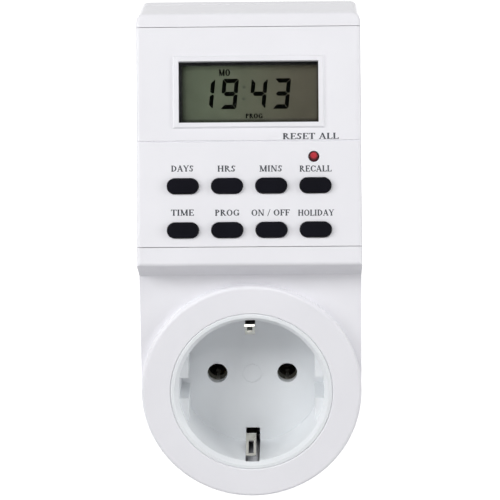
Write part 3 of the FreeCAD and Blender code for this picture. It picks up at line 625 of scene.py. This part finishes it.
# Each letter's width, then its strokes with these sizes:
#   stem or thin, a thick or thin upright of full height: x
#   bar, thin and level: from x, to x, y
#   tick, thin and upright: x, from y, to y
#   slant: from x, from y, to x, to y, its own width
#   bowl, an arc: middle x, middle y, reach x, reach y, from and to in degrees
CAPITALS = {
    "A": (0.80, [
        ("slant", 0.12, 0, 0.41, 1, HAIR), ("slant", 0.39, 1, 0.67, 0, STEM),
        ("bar", 0.2, 0.58, 0.33), ("bar", 0.02, 0.24, 0.0), ("bar", 0.52, 0.80, 0.0),
    ]),
    "C": (0.74, [
        ("bowl", 0.42, 0.5, 0.36, 0.5, 42, 318),
        ("tick", 0.68, 0.66, 0.95), ("tick", 0.68, 0.1, 0.3),
    ]),
    "D": (0.80, [("stem", 0.19), ("bowl", 0.24, 0.5, 0.50, 0.5, -90, 90)]),
    "E": (0.66, [
        ("stem", 0.19),
        ("bar", 0.19, 0.58, 1.0), ("bar", 0.19, 0.46, 0.5), ("bar", 0.19, 0.62, 0.0),
        ("tick", 0.57, 0.78, 1.0), ("tick", 0.45, 0.38, 0.62), ("tick", 0.61, 0.0, 0.24),
    ]),
    "F": (0.62, [
        ("stem", 0.19), ("bar", 0.19, 0.58, 1.0), ("bar", 0.19, 0.46, 0.5),
        ("tick", 0.57, 0.78, 1.0), ("tick", 0.45, 0.38, 0.62),
    ]),
    "G": (0.80, [
        ("bowl", 0.42, 0.5, 0.36, 0.5, 42, 318), ("tick", 0.68, 0.66, 0.95),
        ("slant", 0.66, 0.06, 0.66, 0.42, STEM), ("bar", 0.52, 0.80, 0.44),
    ]),
    "H": (0.84, [("stem", 0.19), ("stem", 0.65), ("bar", 0.19, 0.65, 0.52)]),
    "I": (0.38, [("stem", 0.19)]),
    "L": (0.64, [("stem", 0.19), ("bar", 0.19, 0.60, 0.0), ("tick", 0.59, 0.0, 0.26)]),
    "M": (0.98, [
        ("thin", 0.16), ("slant", 0.17, 1, 0.47, 0.04, STEM),
        ("slant", 0.79, 1, 0.49, 0.04, HAIR), ("stem", 0.80),
    ]),
    "N": (0.84, [
        ("thin", 0.16), ("slant", 0.16, 1, 0.66, 0.0, STEM),
        ("slant", 0.68, 0, 0.68, 1, HAIR), ("bar", 0.56, 0.82, 1.0),
    ]),
    "O": (0.82, [
        ("bowl", 0.41, 0.5, 0.37, 0.5, 0, 180), ("bowl", 0.41, 0.5, 0.37, 0.5, 180, 360),
    ]),
    "P": (0.66, [("stem", 0.19), ("bowl", 0.24, 0.75, 0.36, 0.25, -90, 90)]),
    "R": (0.78, [
        ("stem", 0.19), ("bowl", 0.24, 0.75, 0.34, 0.25, -90, 90),
        ("slant", 0.36, 0.5, 0.66, 0, STEM), ("bar", 0.58, 0.78, 0.0),
    ]),
    "S": (0.60, [
        ("bowl", 0.30, 0.74, 0.20, 0.26, 30, 265), ("bowl", 0.29, 0.27, 0.22, 0.27, -150, 85),
        ("tick", 0.50, 0.72, 0.96), ("tick", 0.08, 0.04, 0.28),
    ]),
    "T": (0.70, [
        ("stem", 0.35), ("bar", 0.05, 0.65, 1.0),
        ("tick", 0.06, 0.76, 1.0), ("tick", 0.64, 0.76, 1.0),
    ]),
    "Y": (0.78, [
        ("slant", 0.13, 1, 0.39, 0.48, STEM), ("slant", 0.67, 1, 0.43, 0.48, HAIR),
        ("slant", 0.40, 0, 0.40, 0.5, STEM),
        ("bar", 0.26, 0.54, 0.0), ("bar", 0.01, 0.27, 1.0), ("bar", 0.55, 0.79, 1.0),
    ]),
    "/": (0.42, [("slant", 0.05, -0.05, 0.36, 1.05, HAIR)]),
    " ": (0.34, []),
}


def block(x0, x1, y0, y1):
    return [(x0, y0), (x1, y0), (x1, y1), (x0, y1)]


def bowl(x, y, reach_x, reach_y, start, end, weight):
    """A curved stroke, thick where it runs upright and thin where it lies flat."""
    turns = [math.radians(start + (end - start) * k / BOWL_STEPS) for k in range(BOWL_STEPS + 1)]
    inner_x = reach_x - STEM * weight
    inner_y = reach_y - HAIR * weight
    outer = [(x + reach_x * math.cos(t), y + reach_y * math.sin(t)) for t in turns]
    inner = [(x + inner_x * math.cos(t), y + inner_y * math.sin(t)) for t in turns]
    return outer + inner[::-1]


def stroke_outlines(stroke, weight, serif):
    kind, *sizes = stroke
    thin = HAIR * weight
    if kind in ("stem", "thin"):
        x = sizes[0]
        half = (STEM if kind == "stem" else HAIR) * weight / 2
        feet = [block(x - SERIF, x + SERIF, 0, thin), block(x - SERIF, x + SERIF, 1 - thin, 1)]
        return [block(x - half, x + half, 0, 1)] + (feet if serif else [])
    if kind == "bar":
        x0, x1, y = sizes
        foot = min(max(y - thin / 2, 0), 1 - thin)
        return [block(x0, x1, foot, foot + thin)]
    if kind == "tick":
        x, y0, y1 = sizes
        return [block(x - thin / 2, x + thin / 2, y0, y1)]
    if kind == "slant":
        x0, y0, x1, y1, width = sizes
        half = width * weight / 2
        return [[(x0 - half, y0), (x0 + half, y0), (x1 + half, y1), (x1 - half, y1)]]
    return [bowl(*sizes, weight)]


def lettering(words, x, up, height, width, weight, serif):
    """The outlines of words centred at (x, up), stretched to the given height and width."""
    outlines = []
    reach = 0.0
    for character in words:
        letter_width, strokes = CAPITALS[character]
        for stroke in strokes:
            for outline in stroke_outlines(stroke, weight, serif):
                outlines.append([(reach + px, py) for px, py in outline])
        reach += letter_width
    return [
        [(x + (px / reach - 0.5) * width, up + (py - 0.5) * height) for px, py in outline]
        for outline in outlines
    ]


# The display: figures and colon on the face of the glass, and two small marks

GLASS_DEPTH = 3.5
SEGMENT_THICKNESS = 0.03
FIGURE_PLACES = (("1", -13.05), ("9", -6.9), ("4", 0.65), ("3", 6.7))
COLON_PLACES = ((-1.3, 43.6), (-1.2, 46.65))
COLON_RADIUS = 0.42
MARK_WEIGHT = 1.7


def display_mark(name, words, x, up, height, width):
    outlines = lettering(words, x, up, height, width, MARK_WEIGHT, serif=False)
    mark_piece(name, outlines, GLASS_DEPTH, SEGMENT_THICKNESS, SEGMENT)


def set_display():
    figures = [outline for place in FIGURE_PLACES for outline in figure(*place)]
    mark_piece("display_figures", figures, GLASS_DEPTH, SEGMENT_THICKNESS, SEGMENT)
    dots = [dot(x, up, COLON_RADIUS) for x, up in COLON_PLACES]
    mark_piece("display_colon", dots, GLASS_DEPTH, SEGMENT_THICKNESS, FAINT)
    display_mark("display_day_mark", "MO", x=-6.3, up=50.5, height=1.75, width=3.1)
    display_mark("display_state_mark", "PROG", x=1.35, up=39.1, height=1.25, width=4.5)


set_display()

# The legends printed on the panel: name, words, middle across and up, and width

LEGEND_HEIGHT = 1.6
LEGEND_THICKNESS = 0.02
LEGEND_WEIGHT = 1.3
LEGENDS = (
    ("legend_days", "DAYS", -17.3, 25.2, 5.9),
    ("legend_hours", "HRS", -5.85, 25.1, 4.8),
    ("legend_minutes", "MINS", 5.65, 25.05, 6.0),
    ("legend_recall", "RECALL", 17.2, 24.95, 8.4),
    ("legend_clock", "TIME", -17.3, 13.75, 6.0),
    ("legend_program", "PROG", -5.75, 13.65, 6.4),
    ("legend_mode", "ON / OFF", 5.5, 13.6, 10.0),
    ("legend_holiday", "HOLIDAY", 17.25, 13.5, 9.4),
    ("legend_reset", "RESET ALL", 16.0, 33.4, 14.6),
)

for legend_name, legend_words, legend_x, legend_up, legend_width in LEGENDS:
    legend_outlines = lettering(legend_words, legend_x, legend_up, LEGEND_HEIGHT, legend_width,
                                LEGEND_WEIGHT, serif=True)
    mark_piece(legend_name, legend_outlines, 0.0, LEGEND_THICKNESS, LEGEND)


# The camera, placed about the point that it looks at

CAMERA_TARGET = Vector((0.04, -36.0, 38.95)) * MM
CAMERA_DISTANCE = 600.0 * MM
CAMERA_AZIMUTH = math.radians(1.03)
CAMERA_ELEVATION = math.radians(14.2)
CAMERA_ROLL = math.radians(-0.67)
CAMERA_NEAR = 0.01
CAMERA_FAR = 20.0
SENSOR_WIDTH = 36.0
# The focal length, as worked out in pixels of the photograph, and the photograph's width
FOCAL_PIXELS = 2300.6
PICTURE_PIXELS = 500.0


def set_camera():
    out = Vector((
        math.sin(CAMERA_AZIMUTH) * math.cos(CAMERA_ELEVATION),
        -math.cos(CAMERA_AZIMUTH) * math.cos(CAMERA_ELEVATION),
        math.sin(CAMERA_ELEVATION),
    ))
    right = Vector((math.cos(CAMERA_AZIMUTH), math.sin(CAMERA_AZIMUTH), 0.0))
    up = out.cross(right)
    turned_right = right * math.cos(CAMERA_ROLL) + up * math.sin(CAMERA_ROLL)
    turned_up = up * math.cos(CAMERA_ROLL) - right * math.sin(CAMERA_ROLL)
    data = bpy.data.cameras.new("camera")
    data.sensor_width = SENSOR_WIDTH
    data.lens = FOCAL_PIXELS / PICTURE_PIXELS * SENSOR_WIDTH
    data.clip_start = CAMERA_NEAR
    data.clip_end = CAMERA_FAR
    camera = add_object("camera", data)
    turn = Matrix((turned_right, turned_up, out)).transposed().to_4x4()
    camera.matrix_world = Matrix.Translation(CAMERA_TARGET + out * CAMERA_DISTANCE) @ turn
    bpy.context.scene.camera = camera


set_camera()


# World and floor: white where they are looked at, and a low soft light on the object

SKY_COLOUR = (0.97, 0.98, 1.0, 1.0)
SKY_LEVEL = 0.1
FLOOR_COLOUR = (0.55, 0.55, 0.56, 1.0)
FLOOR_HEIGHT = -0.16
FLOOR_REACH = 6.0
GLOW_START = 0.3
GLOW_FULL = 0.9
GLOW_MIDDLE = 0.7


def white_seen(tree):
    """One where the camera, gloss or glass looks at the surface, and zero for its own light."""
    ray = tree.nodes.new("ShaderNodeLightPath").outputs
    looks = ("Is Camera Ray", "Is Glossy Ray", "Is Transmission Ray")
    return combined(tree, "MAXIMUM", [ray[look] for look in looks])


def set_world():
    world = bpy.data.worlds.new("studio")
    world.use_nodes = True
    tree = world.node_tree
    tree.nodes.clear()
    soft = add(tree, "ShaderNodeBackground", Color=SKY_COLOUR, Strength=SKY_LEVEL)
    white = add(tree, "ShaderNodeBackground", Color=WHITE_LIGHT, Strength=1.0)
    sky = mixed(tree, white_seen(tree), soft.outputs["Background"], white.outputs["Background"])
    end_in(tree, "ShaderNodeOutputWorld", sky)
    bpy.context.scene.world = world


def floor_material():
    """A pale floor that glows more, where it is looked at, the farther it is from the object."""
    material, tree, coords = new_material("floor_pale")
    diffuse = add(tree, "ShaderNodeBsdfDiffuse", Color=FLOOR_COLOUR)
    glow = add(tree, "ShaderNodeEmission", Color=WHITE_LIGHT)
    rise = rising(tree, length(tree, coords), GLOW_START, GLOW_FULL, GLOW_MIDDLE)
    tree.links.new(rise, glow.inputs["Strength"])
    both = tree.nodes.new("ShaderNodeAddShader")
    tree.links.new(diffuse.outputs["BSDF"], both.inputs[0])
    tree.links.new(glow.outputs["Emission"], both.inputs[1])
    seen = mixed(tree, white_seen(tree), diffuse.outputs["BSDF"], both.outputs["Shader"])
    end_in(tree, "ShaderNodeOutputMaterial", seen)
    return material


def set_floor():
    corners = block(-FLOOR_REACH, FLOOR_REACH, -FLOOR_REACH, FLOOR_REACH)
    mesh = bpy.data.meshes.new("floor")
    mesh.from_pydata([(x, y, FLOOR_HEIGHT) for x, y in corners], [], [(0, 1, 2, 3)])
    mesh.materials.append(floor_material())
    add_object("floor", mesh)


set_world()
set_floor()

# Round soft lamps: name, place and diameter in metres, and power in watts

LAMP_AIM = Vector((0.0, -0.02, 0.035))
LAMPS = (
    ("key", (-0.9, -1.15, 1.0), 0.6, 8.7),
    ("side", (-1.3, -0.7, 0.5), 0.6, 8.5),
    ("front", (0.15, -1.3, 1.15), 0.7, 5.7),
    ("right", (1.5, -0.55, 0.35), 0.9, 10.8),
    ("top", (0.0, 0.7, 1.5), 0.9, 3.2),
    ("back_left", (-1.0, 1.5, 0.45), 0.8, 8.5),
    ("back_right", (1.0, 1.5, 0.45), 0.8, 8.5),
)


def soft_lamp(name, place, diameter, power):
    data = bpy.data.lights.new(name, "AREA")
    data.shape = "DISK"
    data.size = diameter
    data.energy = power
    lamp = add_object(name, data)
    lamp.location = place
    lamp.rotation_mode = "QUATERNION"
    lamp.rotation_quaternion = (LAMP_AIM - Vector(place)).to_track_quat("-Z", "Y")


for lamp_sizes in LAMPS:
    soft_lamp(*lamp_sizes)

bpy.context.scene.view_settings.view_transform = "Standard"
